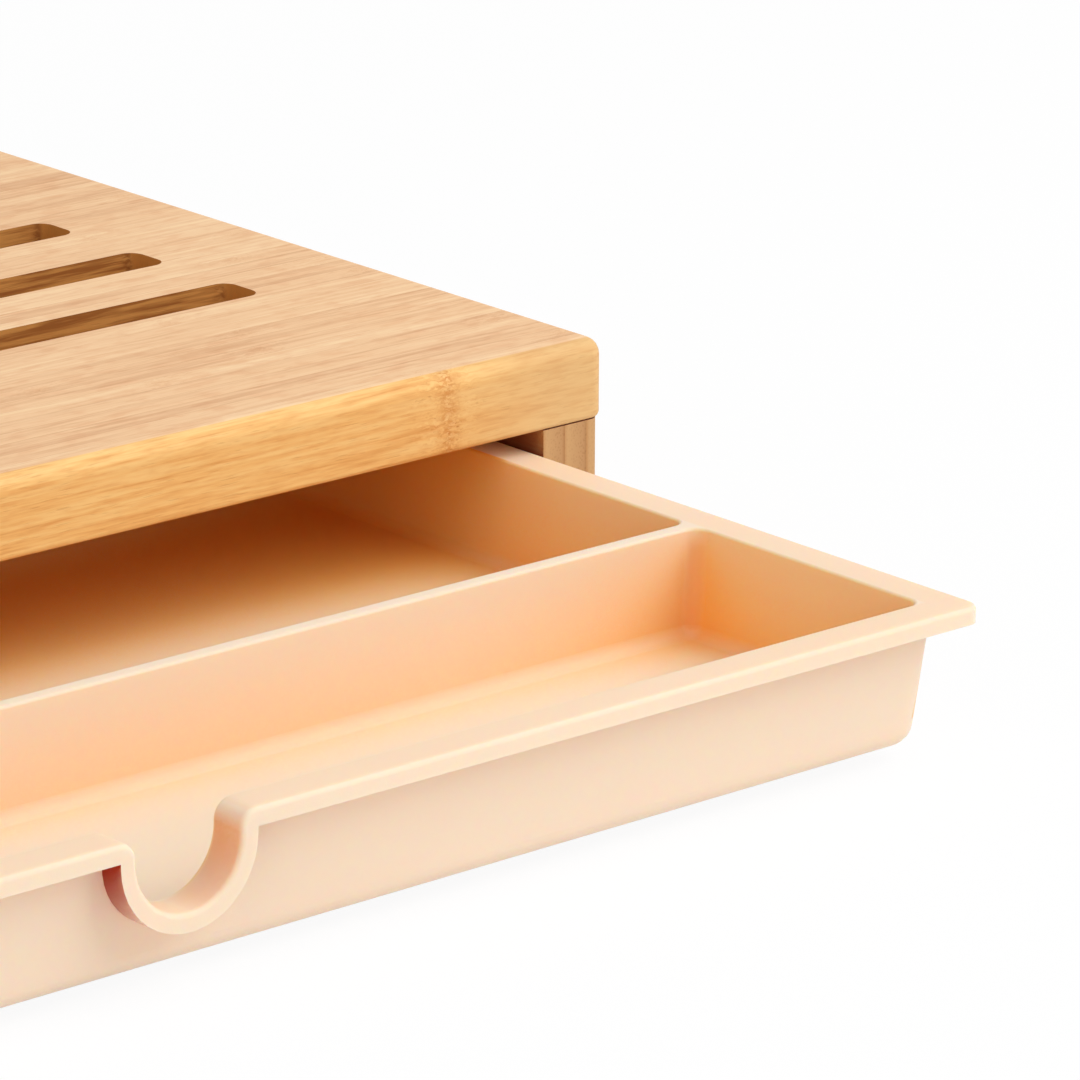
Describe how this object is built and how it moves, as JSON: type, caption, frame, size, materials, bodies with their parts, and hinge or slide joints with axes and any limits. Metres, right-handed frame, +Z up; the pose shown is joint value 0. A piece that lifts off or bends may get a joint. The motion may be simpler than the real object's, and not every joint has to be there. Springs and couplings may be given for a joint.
{
  "type": "cutting board with a drawer tray",
  "caption": "Wooden cutting board on rails, with long crumb slots over a divided plastic tray that slides out at the front and has a flanged rim and a finger notch.",
  "frame": {"origin": "on the table, at the centre of the rectangle that the board and its drawn-out tray cover together", "axes": "+Z up, +X to the right along the board's width, -Y to the front, the way the tray slides out"},
  "size_m": [0.395, 0.3896, 0.0505],
  "materials": {
    "bamboo": "oiled, satin, fine straight grain",
    "tray_plastic": "fine matte moulded surface",
    "dowel_wood": "plain",
    "foot_rubber": "matte",
    "screw_steel": "zinc plated"
  },
  "bodies": {
    "board": {"cutting_panel": "bamboo", "left_side_rail": "bamboo", "right_side_rail": "bamboo", "back_rail": "bamboo", "left_runner": "bamboo", "right_runner": "bamboo", "front_left_foot": "foot_rubber", "front_right_foot": "foot_rubber", "back_left_foot": "foot_rubber", "back_right_foot": "foot_rubber", "panel_screws": "screw_steel", "runner_screws": "screw_steel", "foot_screws": "screw_steel", "corner_dowels": "dowel_wood"},
    "tray": {"drawer_tray": "tray_plastic"}
  },
  "joints": [
    {"name": "tray_slide", "type": "slide", "parent": "board", "child": "tray", "axis": [0, -1, 0], "range_m": [-0.1226, 0.088]}
  ]
}
